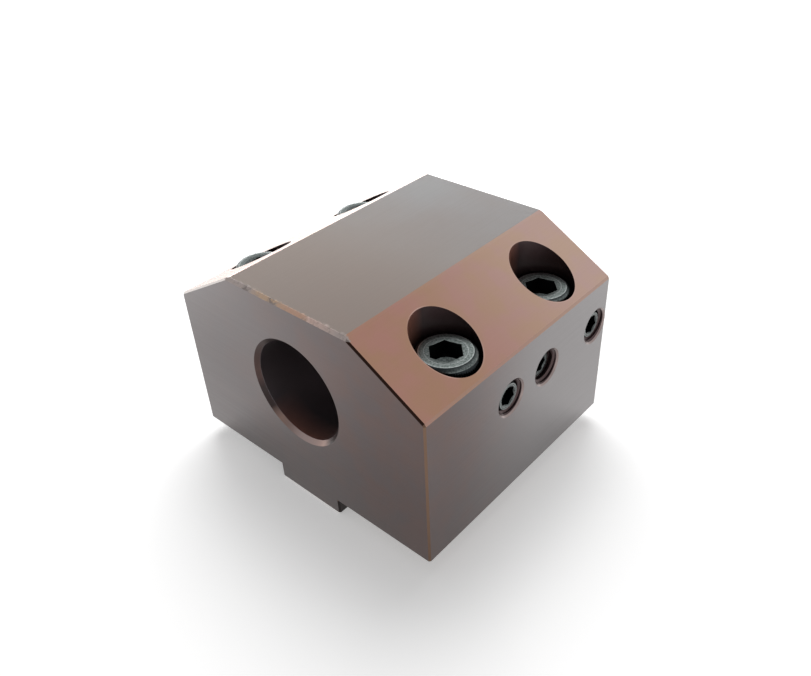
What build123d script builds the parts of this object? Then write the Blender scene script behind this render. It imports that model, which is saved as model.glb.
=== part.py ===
from build123d import *
import os
from math import radians, tan

# Axial tool holder block, bolted to a turret, in millimetres.
# X runs across the tool bore, Y along it towards the rear, Z up from the underside of the key.
# X = 0 and Y = 0 are the middle of the block.

os.makedirs("parts", exist_ok=True)

# Block
block_width = 90.0
block_length = 80.0
seat_to_top = 60.0
seat_to_slope = 46.4  # seat face to the foot of each sloped face
slope_angle = 30.0  # sloped faces, from level
key_width = 24.0
key_height = 5.0
edge_bevel = 0.5
worn_edge_bevel = 0.8  # front edge of the flat top

# Tool bore
bore_diameter = 30.0
seat_to_bore = 32.7
bore_mouth_bevel = 1.2

# Mounting screws, socket head cap screws with a thread of this size
mount_thread = 10.0
mount_spread = 68.0  # across the bore
mount_pitch = 41.0  # along the bore
front_to_mount = 21.0  # front face to the front pair
mount_hole_clearance = 0.5  # all round the shank
counterbore_clearance = 1.0  # all round the head
seat_to_head = 40.0  # seat face to the floor of a counterbore
deep_floor_drop = 2.0  # the rear right counterbore is this much deeper
head_diameter = 16.0
head_height = 10.0
head_top_round = 1.4
head_foot_bevel = 0.4
head_socket_flats = 8.0
head_socket_depth = 5.0
neck_round = 0.4
long_screw = 45.0  # under the head
short_screw = 40.0  # in the deeper counterbore
screw_point_bevel = 1.0

# Clamping screws, socket set screws with a thread of this size
clamp_thread = 10.0
clamp_clearance = 0.05  # all round, in the tapped hole
clamp_length = 25.0
clamp_socket_flats = 5.0
clamp_socket_depth = 5.0
clamp_end_bevel = 1.0
clamp_point_diameter = 7.0
clamp_mouth_diameter = 11.2
front_to_clamp = {"front": 33.5, "middle": 49.75, "rear": 74.1}
clamp_recess = {"front": 1.0, "middle": 2.4, "rear": 1.2}
clamp_turn = {"front": 5.0, "middle": 22.0, "rear": 12.0}

# Sockets
socket_mouth_angle = 30.0  # the bevel round a socket's mouth, from level
socket_point_angle = 30.0  # the drill point below a socket, from level
socket_mouth_margin = 0.1  # the bevel reaches this far past the corners

# Levels and places that follow
seat_level = key_height
top_level = seat_level + seat_to_top
slope_level = seat_level + seat_to_slope
bore_level = seat_level + seat_to_bore
floor_level = seat_level + seat_to_head
deep_floor_level = floor_level - deep_floor_drop
half_top = block_width / 2 - (seat_to_top - seat_to_slope) / tan(radians(slope_angle))
front = -block_length / 2
left_mount = -mount_spread / 2
right_mount = mount_spread / 2
front_mount = front + front_to_mount
rear_mount = front_mount + mount_pitch

# Each mounting screw's x, y, floor of its counterbore, length under the head and turn of its socket
mounting_screws = {
    "front_left": (left_mount, front_mount, floor_level, long_screw, 38.0),
    "front_right": (right_mount, front_mount, floor_level, long_screw, 14.0),
    "rear_left": (left_mount, rear_mount, floor_level, long_screw, 25.0),
    "rear_right": (right_mount, rear_mount, deep_floor_level, short_screw, 13.0),
}


def turned(*corners):
    """Solid turned about Z from the (radius, height) corners of half its section."""
    return revolve(make_face(Plane.XZ * Polyline(*corners, close=True)), Axis.Z)


def lying_along_y(shape):
    """Turns a shape that stands along Z so that its top faces the rear."""
    return Rot(-90, 0, 0) * shape


def facing_right(shape):
    """Turns a shape that stands along Z so that its top faces the right side."""
    return Rot(0, 90, 0) * shape


def blank():
    """The bare block with its key, before any hole is cut."""
    half = block_width / 2
    key = key_width / 2
    outline = Polyline(
        (-half, seat_level),
        (-key, seat_level),
        (-key, 0),
        (key, 0),
        (key, seat_level),
        (half, seat_level),
        (half, slope_level),
        (half_top, top_level),
        (-half_top, top_level),
        (-half, slope_level),
        close=True,
    )
    body = extrude(make_face(Plane.XZ * outline), amount=block_length / 2, both=True)
    front_top = body.edges().filter_by(Axis.X).group_by(Axis.Z)[-1].sort_by(Axis.Y)[0]
    body = chamfer(front_top, worn_edge_bevel)
    return chamfer(sharp_edges(body), edge_bevel)


def sharp_edges(body):
    """Outer edges still to be bevelled: all but the worn bevel's and the two inner corners beside the key."""
    worn = body.faces().filter_by(lambda face: face.normal_at().Y < -0.1 and face.normal_at().Z > 0.1)[0]
    keep = []
    for edge in body.edges():
        middle = edge.center()
        inner_corner = abs(abs(middle.X) - key_width / 2) < 0.01 and abs(middle.Z - seat_level) < 0.01
        if not inner_corner and not any(edge.is_same(other) for other in worn.edges()):
            keep.append(edge)
    return keep


def bore_cutter():
    """Tool bore with a bevelled mouth at each end."""
    radius = bore_diameter / 2
    mouth = radius + bore_mouth_bevel
    half = block_length / 2
    cutter = turned(
        (0, -half), (mouth, -half), (radius, bore_mouth_bevel - half),
        (radius, half - bore_mouth_bevel), (mouth, half), (0, half),
    )
    return Pos(0, 0, bore_level) * lying_along_y(cutter)


def mount_cutter(floor):
    """Clearance hole for the shank with a counterbore for the head, open through the top."""
    hole = mount_thread / 2 + mount_hole_clearance
    well = head_diameter / 2 + counterbore_clearance
    return turned((0, 0), (hole, 0), (hole, floor), (well, floor), (well, top_level), (0, top_level))


def clamp_cutter():
    """Tapped hole from the bore to the right side, with a countersunk mouth."""
    hole = clamp_thread / 2 + clamp_clearance
    mouth = clamp_mouth_diameter / 2
    face = block_width / 2
    cutter = turned((0, 0), (hole, 0), (hole, face - (mouth - hole)), (mouth, face), (0, face))
    return facing_right(cutter)


def holder_body():
    """Block with its bore, four counterbored mounting holes and three tapped holes."""
    body = blank() - bore_cutter()
    for x, y, floor, _, _ in mounting_screws.values():
        body -= Pos(x, y, 0) * mount_cutter(floor)
    for distance in front_to_clamp.values():
        body -= Pos(0, front + distance, bore_level) * clamp_cutter()
    return body


def socket_cutter(flats, depth, turn):
    """Hexagonal socket with its mouth at Z = 0, a bevel round the mouth and a drill point below."""
    hexagon = RegularPolygon(flats / 2, 6, major_radius=False, rotation=turn)
    prism = extrude(hexagon, amount=-depth)
    drill = flats / 2
    point = turned((0, -depth), (drill, -depth), (0, -depth - drill * tan(radians(socket_point_angle))))
    corner = flats / 3**0.5 + socket_mouth_margin
    mouth = turned((0, 0), (corner, 0), (0, -corner * tan(radians(socket_mouth_angle))))
    return prism + point + mouth


def cap_screw(length, turn):
    """Cap screw with the underside of its head at Z = 0, point down."""
    shank = mount_thread / 2
    head = head_diameter / 2
    point = shank - screw_point_bevel
    body = turned(
        (0, -length), (point, -length), (shank, screw_point_bevel - length), (shank, 0),
        (head - head_foot_bevel, 0), (head, head_foot_bevel), (head, head_height), (0, head_height),
    )
    neck = body.edges().filter_by(GeomType.CIRCLE).filter_by(lambda edge: abs(edge.radius - shank) < 0.001)
    body = fillet(neck.sort_by(Axis.Z)[-1], neck_round)
    body = fillet(body.edges().filter_by(GeomType.CIRCLE).sort_by(Axis.Z)[-1], head_top_round)
    return body - Pos(0, 0, head_height) * socket_cutter(head_socket_flats, head_socket_depth, turn)


def set_screw(turn):
    """Flat-point set screw with its socket end at Z = 0, point down."""
    radius = clamp_thread / 2
    point = clamp_point_diameter / 2
    body = turned(
        (0, -clamp_length), (point, -clamp_length), (radius, radius - point - clamp_length),
        (radius, -clamp_end_bevel), (radius - clamp_end_bevel, 0), (0, 0),
    )
    return body - socket_cutter(clamp_socket_flats, clamp_socket_depth, turn)


export_step(holder_body(), "parts/holder_body.step")

for name, (x, y, floor, length, turn) in mounting_screws.items():
    screw = Pos(x, y, floor) * cap_screw(length, turn)
    export_step(screw, f"parts/mounting_screw_{name}.step")

for name, distance in front_to_clamp.items():
    place = Pos(block_width / 2 - clamp_recess[name], front + distance, bore_level)
    screw = place * facing_right(set_screw(clamp_turn[name]))
    export_step(screw, f"parts/clamp_screw_{name}.step")
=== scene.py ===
# %% [markdown]
# # Axial tool holder block
#
# A steel block that bolts to the turret of a lathe. A round tool shank slides into its bore, and three set
# screws in the right side clamp it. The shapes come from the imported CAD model, which stays as it is. This
# lesson gives it light, a camera, threads, knurling and finishes.

import math

import bmesh
import bpy
from mathutils import Matrix, Vector


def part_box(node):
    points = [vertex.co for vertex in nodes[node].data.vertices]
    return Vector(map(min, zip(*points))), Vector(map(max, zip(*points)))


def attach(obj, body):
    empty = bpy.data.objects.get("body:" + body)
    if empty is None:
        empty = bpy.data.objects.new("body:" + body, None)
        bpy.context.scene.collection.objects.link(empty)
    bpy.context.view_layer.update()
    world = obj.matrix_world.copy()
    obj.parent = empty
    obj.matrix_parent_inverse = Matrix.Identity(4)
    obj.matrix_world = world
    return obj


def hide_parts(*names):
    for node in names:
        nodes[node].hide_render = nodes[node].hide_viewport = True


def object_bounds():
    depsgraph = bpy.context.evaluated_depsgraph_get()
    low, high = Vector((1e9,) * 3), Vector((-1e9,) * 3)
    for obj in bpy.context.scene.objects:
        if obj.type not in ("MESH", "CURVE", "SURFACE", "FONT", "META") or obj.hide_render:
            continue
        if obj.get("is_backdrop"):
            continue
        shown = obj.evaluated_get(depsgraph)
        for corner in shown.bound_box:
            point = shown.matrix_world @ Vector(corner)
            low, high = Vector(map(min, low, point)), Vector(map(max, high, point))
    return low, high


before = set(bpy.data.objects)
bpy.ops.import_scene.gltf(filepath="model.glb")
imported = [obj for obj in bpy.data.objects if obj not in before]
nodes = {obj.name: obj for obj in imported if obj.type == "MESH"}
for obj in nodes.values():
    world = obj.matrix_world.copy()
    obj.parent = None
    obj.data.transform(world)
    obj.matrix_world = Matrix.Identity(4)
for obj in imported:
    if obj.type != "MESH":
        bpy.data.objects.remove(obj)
cad_low, cad_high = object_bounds()
print("CAD nodes:", sorted(nodes))

# %% [markdown]
# ## Units and colours
#
# Blender works in metres and in linear light. Sizes below are written in millimetres and colours as the
# sRGB hex codes that a picture editor shows, so two small helpers turn them into what Blender needs. A
# third turns an azimuth and an elevation into a direction, for the camera, the lamps and the room.

# %% Units, colours and directions
MM = 0.001


def linear(code):
    """Linear RGBA of an sRGB hex colour."""
    parts = [int(code[i:i + 2], 16) / 255 for i in (1, 3, 5)]
    return (*[c / 12.92 if c <= 0.04045 else ((c + 0.055) / 1.055) ** 2.4 for c in parts], 1.0)


def heading(azimuth, elevation):
    """Unit vector towards a place round the object. Azimuth 0 is in front, 90 on the right side."""
    a, e = math.radians(azimuth), math.radians(elevation)
    return Vector((math.sin(a) * math.cos(e), -math.cos(a) * math.cos(e), math.sin(e)))


print("middle grey in linear light:", round(linear("#808080")[0], 3))

# %% [markdown]
# ## The camera
#
# The photograph was taken from the front right, looking down. A camera could be aimed by eye, but the
# angles, the distance and the focal length here were solved from the block's corners and edges, so that the
# render lines up with the photograph.

# %% Camera
IMAGE_WIDTH = 811
SENSOR_WIDTH = 36.0
FOCAL_PIXELS = 794.044
VIEW_AZIMUTH = 43.286
VIEW_ELEVATION = 35.549
VIEW_ROLL = -3.071
VIEW_DISTANCE = 230.352 * MM
VIEW_SHIFT = Vector((-2.496, -15.112)) * MM
LOOK_AT = Vector((0.0, 8.0, 47.0)) * MM
NEAREST_VIEW = 10 * MM

back = heading(VIEW_AZIMUTH, VIEW_ELEVATION)
level_right = Vector((0, 0, 1)).cross(back).normalized()
level_up = back.cross(level_right)
roll = math.radians(VIEW_ROLL)
right = level_right * math.cos(roll) + level_up * math.sin(roll)
up = level_up * math.cos(roll) - level_right * math.sin(roll)
place = LOOK_AT + back * VIEW_DISTANCE + right * VIEW_SHIFT.x + up * VIEW_SHIFT.y

camera_data = bpy.data.cameras.new("camera")
camera_data.sensor_width = SENSOR_WIDTH
camera_data.lens = FOCAL_PIXELS / IMAGE_WIDTH * SENSOR_WIDTH
camera_data.clip_start = NEAREST_VIEW
camera = bpy.data.objects.new("camera", camera_data)
camera.matrix_world = Matrix.Translation(place) @ Matrix((right, up, back)).transposed().to_4x4()
bpy.context.scene.collection.objects.link(camera)
bpy.context.scene.camera = camera
bpy.context.scene.view_settings.view_transform = "Standard"
print("lens, mm:", round(camera_data.lens, 2))

# %% [markdown]
# ## Helpers for materials
#
# Every material is a small graph of nodes. One helper adds any node with its settings and its links, so
# that each finish below reads as a list of steps. A mask is a node whose first output is 1 where something
# is so and 0 elsewhere.

# %% Material helpers


def add_node(tree, kind, settings=None, links=None):
    """Adds a node. Settings go to its inputs or its properties, links are input to output socket."""
    node = tree.nodes.new(kind)
    for name, value in (settings or {}).items():
        if isinstance(name, int) or name in node.inputs:
            node.inputs[name].default_value = value
        else:
            setattr(node, name, value)
    for name, socket in (links or {}).items():
        tree.links.new(socket, node.inputs[name])
    return node


def any_of(tree, masks):
    """Mask that is 1 wherever one of the masks is."""
    whole = masks[0]
    for mask in masks[1:]:
        whole = add_node(
            tree, "ShaderNodeMath", {"operation": "MAXIMUM"}, {0: whole.outputs[0], 1: mask.outputs[0]}
        )
    return whole


def fill_ramp(ramp_node, stops):
    """Sets a colour ramp to its stops, each a position and a hex colour."""
    elements = ramp_node.color_ramp.elements
    for position, _ in stops[1:-1]:
        elements.new(position)
    for element, (position, code) in zip(elements, stops):
        element.position = position
        element.color = linear(code)


def new_material(name):
    """Empty material with its node tree, and its output node."""
    material = bpy.data.materials.new(name)
    material.use_nodes = True
    material.node_tree.nodes.clear()
    output = add_node(material.node_tree, "ShaderNodeOutputMaterial")
    return material, material.node_tree, output


def looked_at(tree):
    """Mask for rays that look at a thing, from the camera or by way of metal or glass."""
    path = add_node(tree, "ShaderNodeLightPath")
    seen = add_node(
        tree, "ShaderNodeMath", {"operation": "MAXIMUM"},
        {0: path.outputs["Is Camera Ray"], 1: path.outputs["Is Glossy Ray"]},
    )
    return add_node(
        tree, "ShaderNodeMath", {"operation": "MAXIMUM"},
        {0: seen.outputs[0], 1: path.outputs["Is Transmission Ray"]},
    )


print("helpers: add_node, any_of, fill_ramp, new_material, looked_at")

# %% [markdown]
# ## The room
#
# Metal shows what stands round it, so the room matters as much as the lamps. A panorama picture could stand
# for it, but a few nodes say plainly what the metal needs. The world is white at the height of the horizon,
# where the camera and the reflections find the backdrop. High up on the front right it is dimmer, as a
# studio is behind the photographer, so that the bevels that face the camera don't turn white. As a source
# of light the whole world is dimmed, so that the backdrop doesn't wash out the shadows.

# %% The dim part of the room
DIM_AZIMUTH, DIM_ELEVATION = 27, 42
DIM_CORE, DIM_REACH = 30, 50  # degrees from its middle
HORIZON_LOW, HORIZON_HIGH = 12, 32  # elevations between which it sets in

world = bpy.data.worlds.new("studio")
world.use_nodes = True
bpy.context.scene.world = world
tree = world.node_tree
tree.nodes.clear()
toward = add_node(tree, "ShaderNodeTexCoord")
nearness = add_node(
    tree, "ShaderNodeVectorMath", {"operation": "DOT_PRODUCT", 1: heading(DIM_AZIMUTH, DIM_ELEVATION)},
    {0: toward.outputs["Generated"]},
)
within = add_node(
    tree, "ShaderNodeMapRange",
    {
        "interpolation_type": "SMOOTHSTEP",
        "From Min": math.cos(math.radians(DIM_REACH)),
        "From Max": math.cos(math.radians(DIM_CORE)),
    },
    {"Value": nearness.outputs["Value"]},
)
toward_axes = add_node(tree, "ShaderNodeSeparateXYZ", links={0: toward.outputs["Generated"]})
raised = add_node(
    tree, "ShaderNodeMapRange",
    {
        "interpolation_type": "SMOOTHSTEP",
        "From Min": math.sin(math.radians(HORIZON_LOW)),
        "From Max": math.sin(math.radians(HORIZON_HIGH)),
    },
    {"Value": toward_axes.outputs["Z"]},
)
dim = add_node(
    tree, "ShaderNodeMath", {"operation": "MULTIPLY"}, {0: within.outputs[0], 1: raised.outputs[0]}
)
print("dim part of the room: azimuth", DIM_AZIMUTH, "elevation", DIM_ELEVATION)

# %% The room as it is seen, and as it lights
AMBIENT = 0.31  # of the light of a white world
DIM_LIGHT = 0.35  # of white, in linear light

room = add_node(
    tree, "ShaderNodeMix",
    {"data_type": "RGBA", 6: linear("#ffffff"), 7: (DIM_LIGHT, DIM_LIGHT, DIM_LIGHT, 1.0)},
    {"Factor": dim.outputs[0]},
)
ambient = add_node(tree, "ShaderNodeBackground", {"Strength": AMBIENT}, {"Color": room.outputs[2]})
backdrop = add_node(tree, "ShaderNodeBackground", {"Strength": 1.0}, {"Color": room.outputs[2]})
mixed = add_node(
    tree, "ShaderNodeMixShader",
    links={0: looked_at(tree).outputs[0], 1: ambient.outputs[0], 2: backdrop.outputs[0]},
)
add_node(tree, "ShaderNodeOutputWorld", links={"Surface": mixed.outputs[0]})
print("room:", world.name, "lights with", AMBIENT)

# %% [markdown]
# ## The lamps
#
# Two area lamps stand for soft boxes. Point lamps would do for the amount of light, but their shadows would
# be hard. The key is large and stands high behind on the left. It doesn't show in metal, where it would be
# one more white patch. The low strip is there for its reflection, which turns the left sloped face white.

# %% Lamps
LAMPS = {
    # name: (azimuth, elevation, distance in m, width and height in m, power in W, shows in metal)
    "key_softbox": (-140, 60, 1.4, (1.0, 1.0), 16.0, False),
    "low_strip": (-127, 6, 1.0, (1.2, 0.14), 3.2, True),
}
for name, (azimuth, elevation, distance, (width, height), power, shows) in LAMPS.items():
    lamp_data = bpy.data.lights.new(name, "AREA")
    lamp_data.shape = "RECTANGLE"
    lamp_data.size = width
    lamp_data.size_y = height
    lamp_data.energy = power
    lamp = bpy.data.objects.new(name, lamp_data)
    direction = heading(azimuth, elevation)
    lamp.location = LOOK_AT + direction * distance
    lamp.rotation_euler = direction.to_track_quat("Z", "Y").to_euler()
    lamp.visible_camera = False
    lamp.visible_glossy = shows
    bpy.context.scene.collection.objects.link(lamp)
print("lamps:", sorted(LAMPS))

# %% [markdown]
# ## The floor
#
# A wide white card under the block. A shadow catcher would lose the floor's reflection in the metal, so the
# card is a real surface. It keeps the block's soft shadow, and far from the block it turns into the white
# of the backdrop, so no horizon shows.

# %% The card
FLOOR_RADIUS = 3.0
FLOOR_SIDES = 96
FLOOR_MIDDLE = (0.02, -0.03)  # in metres, as all of the floor

floor_mesh = bpy.data.meshes.new("floor")
shape = bmesh.new()
bmesh.ops.create_circle(shape, cap_ends=True, segments=FLOOR_SIDES, radius=FLOOR_RADIUS)
shape.to_mesh(floor_mesh)
shape.free()
floor = bpy.data.objects.new("floor", floor_mesh)
floor.location = (*FLOOR_MIDDLE, cad_low.z)
bpy.context.scene.collection.objects.link(floor)
floor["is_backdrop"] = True
print("floor radius, m:", FLOOR_RADIUS)

# %% White card: matt, so that the eye sees only light and shadow on it
FLOOR_GLOW = 0.36
SHADOW_REACH = 0.12
WHITE_REACH = 0.27

card, tree, output = new_material("white_card")
where = add_node(tree, "ShaderNodeTexCoord")
reach = add_node(tree, "ShaderNodeVectorMath", {"operation": "LENGTH"}, {0: where.outputs["Object"]})
glow_strength = add_node(
    tree, "ShaderNodeMapRange",
    {
        "interpolation_type": "SMOOTHSTEP", "From Min": SHADOW_REACH, "From Max": WHITE_REACH,
        "To Min": FLOOR_GLOW, "To Max": 1.0,
    },
    {"Value": reach.outputs["Value"]},
)
seen_glow = add_node(
    tree, "ShaderNodeMath", {"operation": "MULTIPLY"},
    {0: glow_strength.outputs[0], 1: looked_at(tree).outputs[0]},
)
glow = add_node(
    tree, "ShaderNodeEmission", {"Color": linear("#ffffff")}, {"Strength": seen_glow.outputs[0]}
)
surface = add_node(tree, "ShaderNodeBsdfDiffuse", {"Color": linear("#f0f0f0")})
mixed = add_node(tree, "ShaderNodeAddShader", links={0: surface.outputs[0], 1: glow.outputs[0]})
tree.links.new(mixed.outputs[0], output.inputs["Surface"])
floor_mesh.materials.append(card)
print("floor finish:", card.name)

# %% [markdown]
# ## The coated block
#
# The block is tool steel with a thin, hard brown coating. Its flat faces were ground before it was coated,
# and show a greyish brown. The sloped faces were milled, and show the copper of the coating. The mouths of
# the holes were turned, and the holes are painted darker for the shade in them, with painted light where
# light reaches in. Each face could have a material of its own, but the CAD mesh isn't cut up for it. One
# material does it all: the direction in which a face looks tells ground from milled, and the distance from
# a hole's axis finds its wall and its mouth.

# %% Place and direction on the block, in millimetres
MILLIMETRES = (1000.0, 1000.0, 1000.0)
FRONT = -40.0  # Y of the front face
SIDE = 45.0  # X of the right side
TOP = 65.0  # Z of the flat top

coated, tree, output = new_material("coated_tool_steel")
where = add_node(tree, "ShaderNodeTexCoord")
spot = add_node(
    tree, "ShaderNodeVectorMath", {"operation": "MULTIPLY", 1: MILLIMETRES}, {0: where.outputs["Object"]}
)
spot_axes = add_node(tree, "ShaderNodeSeparateXYZ", links={0: spot.outputs[0]})
facing = add_node(
    tree, "ShaderNodeVectorMath", {"operation": "ABSOLUTE"}, {0: where.outputs["Normal"]}
)
facing_axes = add_node(tree, "ShaderNodeSeparateXYZ", links={0: facing.outputs[0]})
side_axes = add_node(tree, "ShaderNodeSeparateXYZ", links={0: where.outputs["Normal"]})
print("front, side and top, mm:", FRONT, SIDE, TOP)

# %% Ground faces look straight along an axis, sloped ones lean by 30 degrees, and bevels do neither
SLOPE_FACING = (0.5, 0.0, 0.866)
GROUND_ENOUGH = 0.985
SLOPED_ENOUGH = 0.99

flattest = add_node(
    tree, "ShaderNodeMath", {"operation": "MAXIMUM"},
    {0: facing_axes.outputs["X"], 1: facing_axes.outputs["Y"]},
)
flattest = add_node(
    tree, "ShaderNodeMath", {"operation": "MAXIMUM"}, {0: flattest.outputs[0], 1: facing_axes.outputs["Z"]}
)
ground = add_node(
    tree, "ShaderNodeMath", {"operation": "GREATER_THAN", 1: GROUND_ENOUGH}, {0: flattest.outputs[0]}
)
lean = add_node(
    tree, "ShaderNodeVectorMath", {"operation": "DOT_PRODUCT", 1: SLOPE_FACING}, {0: facing.outputs[0]}
)
sloped = add_node(
    tree, "ShaderNodeMath", {"operation": "GREATER_THAN", 1: SLOPED_ENOUGH}, {0: lean.outputs["Value"]}
)
print("slope from level, degrees:", round(math.degrees(math.acos(SLOPE_FACING[2])), 1))

# %% Where the holes are
BORE_LEVEL = 37.7  # Z of its axis
BORE_RADIUS = 15.0
MOUNTS = [(x, y, 0) for x in (-34, 34) for y in (-19, 22)]
TAPPED = [(0, y, BORE_LEVEL) for y in (-6.5, 9.75, 34.1)]
UNDER_ALL = -1.0  # below the key
UNDER_WELLS = 42.9  # just below the floor of the deepest counterbore
WITHIN_BORE = 10.0  # inside the bore, past the end of a tapped hole
HOLES = {
    # name: (directions across its axis, radius, width of its mouth, axis and where it starts, middles)
    "bore": ((1, 0, 1), BORE_RADIUS, 1.2, ("Z", UNDER_ALL), [(0, 0, BORE_LEVEL)]),
    "mount": ((1, 1, 0), 5.5, 0.0, ("Z", UNDER_ALL), MOUNTS),
    "counterbore": ((1, 1, 0), 9.0, 0.2, ("Z", UNDER_WELLS), MOUNTS),
    "tapped": ((0, 1, 1), 5.12, 0.55, ("X", WITHIN_BORE), TAPPED),
}
print("holes:", {name: len(middles) for name, (*_, middles) in HOLES.items()})

# %% Masks for the walls and the mouths of the holes
WALL_MARGIN = 0.03  # so that points on a wall count as part of it
MOUTH_MARGIN = 0.05

walls = {name: [] for name in HOLES}
mouths = {name: [] for name in HOLES}
for name, (directions, radius, mouth, (axis, start), middles) in HOLES.items():
    across = add_node(
        tree, "ShaderNodeVectorMath", {"operation": "MULTIPLY", 1: directions}, {0: spot.outputs[0]}
    )
    beyond = add_node(
        tree, "ShaderNodeMath", {"operation": "GREATER_THAN", 1: start}, {0: spot_axes.outputs[axis]}
    )
    rings = (walls[name], radius + WALL_MARGIN), (mouths[name], radius + mouth + MOUTH_MARGIN)
    for middle in middles:
        reach = add_node(
            tree, "ShaderNodeVectorMath", {"operation": "DISTANCE", 1: middle}, {0: across.outputs[0]}
        )
        for masks, edge in rings:
            near = add_node(
                tree, "ShaderNodeMath", {"operation": "LESS_THAN", 1: edge}, {0: reach.outputs["Value"]}
            )
            near = add_node(
                tree, "ShaderNodeMath", {"operation": "MULTIPLY"}, {0: near.outputs[0], 1: beyond.outputs[0]}
            )
            masks.append(near)

in_hole = any_of(tree, [mask for masks in walls.values() for mask in masks])
in_mouth = any_of(tree, mouths["bore"] + mouths["tapped"])
in_rim = any_of(tree, mouths["counterbore"])
in_well = any_of(tree, walls["counterbore"])
in_tapped = any_of(tree, walls["tapped"])
print("masks:", sum(len(masks) for masks in (*walls.values(), *mouths.values())))

# %% [markdown]
# ## Ground faces
#
# Coated ground steel is a satin grey with a warm cast that changes slowly over a face, as the coating does
# with its thickness. An image could be painted for that, but a few soft gradients and one slow noise,
# placed in millimetres, keep it sharp at any distance. The coating is warmer along the front of the top and
# browner near the front right corner, where the brown is also darker as a painted shade. The upright faces
# are a little darker than the top, and the lower left of the front darker still, both as painted shade.

# %% How brown a spot is, from its distance to the front right corner; the brown is also painted shade
BROWN_AND_SHADE_CORNER = (SIDE, FRONT, 42.0)
BROWN_SPREAD = (0.45, 1.0, 0.4)  # how fast it fades across, along and up
BROWN_FROM, BROWN_TO = 5.0, 50.0
BROWN_ON_TOP = 0.25  # share of it on a face that looks up

from_corner = add_node(
    tree, "ShaderNodeVectorMath", {"operation": "SUBTRACT", 1: BROWN_AND_SHADE_CORNER}, {0: spot.outputs[0]}
)
spread = add_node(
    tree, "ShaderNodeVectorMath", {"operation": "MULTIPLY", 1: BROWN_SPREAD}, {0: from_corner.outputs[0]}
)
spread = add_node(tree, "ShaderNodeVectorMath", {"operation": "LENGTH"}, {0: spread.outputs[0]})
# painted shade: near the front right corner the ground faces turn a brown that is also darker than their
# grey
brown = add_node(
    tree, "ShaderNodeMapRange",
    {
        "interpolation_type": "SMOOTHSTEP", "From Min": BROWN_FROM, "From Max": BROWN_TO,
        "To Min": 1.0, "To Max": 0.0,
    },
    {"Value": spread.outputs["Value"]},
)
upright = add_node(
    tree, "ShaderNodeMapRange", {"To Min": 1.0, "To Max": BROWN_ON_TOP}, {"Value": facing_axes.outputs["Z"]}
)
brown = add_node(
    tree, "ShaderNodeMath", {"operation": "MULTIPLY"}, {0: brown.outputs[0], 1: upright.outputs[0]}
)
print("brown fades over, mm:", BROWN_TO - BROWN_FROM)

# %% Greys of the ground faces: clouds 30 mm wide, a warm front of the top, and painted shade on the upright faces and the lower left of the front
CLOUD = 30.0
WARM_FROM, WARM_TO = 35.0, -25.0
SHADE_PATCH_MIDDLE = (-32.0, FRONT, 18.0)
SHADE_PATCH_EDGE, SHADE_PATCH_CORE = 48.0, 12.0
SHADE_PATCH_SHARE = 0.95

cloud = add_node(
    tree, "ShaderNodeTexNoise", {"Scale": 1 / CLOUD, "Detail": 3.0, "Roughness": 0.5},
    {"Vector": spot.outputs[0]},
)
clouded = add_node(tree, "ShaderNodeValToRGB", links={"Fac": cloud.outputs["Fac"]})
fill_ramp(clouded, ((0.35, "#888280"), (0.65, "#8b8a8a")))
warm = add_node(
    tree, "ShaderNodeMapRange",
    {"interpolation_type": "SMOOTHSTEP", "From Min": WARM_FROM, "From Max": WARM_TO},
    {"Value": spot_axes.outputs["Y"]},
)
warm = add_node(
    tree, "ShaderNodeMath", {"operation": "MULTIPLY"}, {0: warm.outputs[0], 1: facing_axes.outputs["Z"]}
)
top_grey = add_node(
    tree, "ShaderNodeMix", {"data_type": "RGBA", 7: linear("#8b7f77")},
    {"Factor": warm.outputs[0], 6: clouded.outputs[0]},
)
# painted shade: the upright faces get a darker grey than the top
ground_grey = add_node(
    tree, "ShaderNodeMix", {"data_type": "RGBA", 6: linear("#7d7979")},
    {"Factor": facing_axes.outputs["Z"], 7: top_grey.outputs[2]},
)
# painted shade: the lower left of the front is mixed towards a darker grey
to_shade_patch = add_node(
    tree, "ShaderNodeVectorMath", {"operation": "DISTANCE", 1: SHADE_PATCH_MIDDLE}, {0: spot.outputs[0]}
)
shade_patch = add_node(
    tree, "ShaderNodeMapRange",
    {
        "interpolation_type": "SMOOTHSTEP", "From Min": SHADE_PATCH_EDGE, "From Max": SHADE_PATCH_CORE,
        "To Max": SHADE_PATCH_SHARE,
    },
    {"Value": to_shade_patch.outputs["Value"]},
)
ground_grey = add_node(
    tree, "ShaderNodeMix", {"data_type": "RGBA", 7: linear("#645f5f")},
    {"Factor": shade_patch.outputs[0], 6: ground_grey.outputs[2]},
)
print("clouds, mm:", CLOUD)

# %% A rosy blush in patches 9 mm wide, in the brown of the ground faces and in the copper of the slopes
BLUSH = 9.0
BLUSH_FROM, BLUSH_TO = 0.38, 0.62

blush_noise = add_node(
    tree, "ShaderNodeTexNoise", {"Scale": 1 / BLUSH, "Detail": 2.0}, {"Vector": spot.outputs[0]}
)
blush = add_node(
    tree, "ShaderNodeMapRange", {"From Min": BLUSH_FROM, "From Max": BLUSH_TO},
    {"Value": blush_noise.outputs["Fac"]},
)
ground_brown = add_node(
    tree, "ShaderNodeMix", {"data_type": "RGBA", 6: linear("#594d4c"), 7: linear("#5f4c48")},
    {"Factor": blush.outputs[0]},
)
ground_colour = add_node(
    tree, "ShaderNodeMix", {"data_type": "RGBA"},
    {"Factor": brown.outputs[0], 6: ground_grey.outputs[2], 7: ground_brown.outputs[2]},
)
print("blush, mm:", BLUSH)

# %% [markdown]
# ## Sloped faces
#
# On the milled slopes the same coating is copper, and paler towards the rear. Its patches are a change of
# hue and not of lightness, so they are a mix of tan and rose. They could have a noise of their own, but the
# one of the ground faces lets a patch run on over an edge, as it does in a real coating.

# %% Copper of the slopes, which gets paler from the front to the rear
PALE_FROM, PALE_TO = 6.0, 80.0  # from the front face

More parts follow.
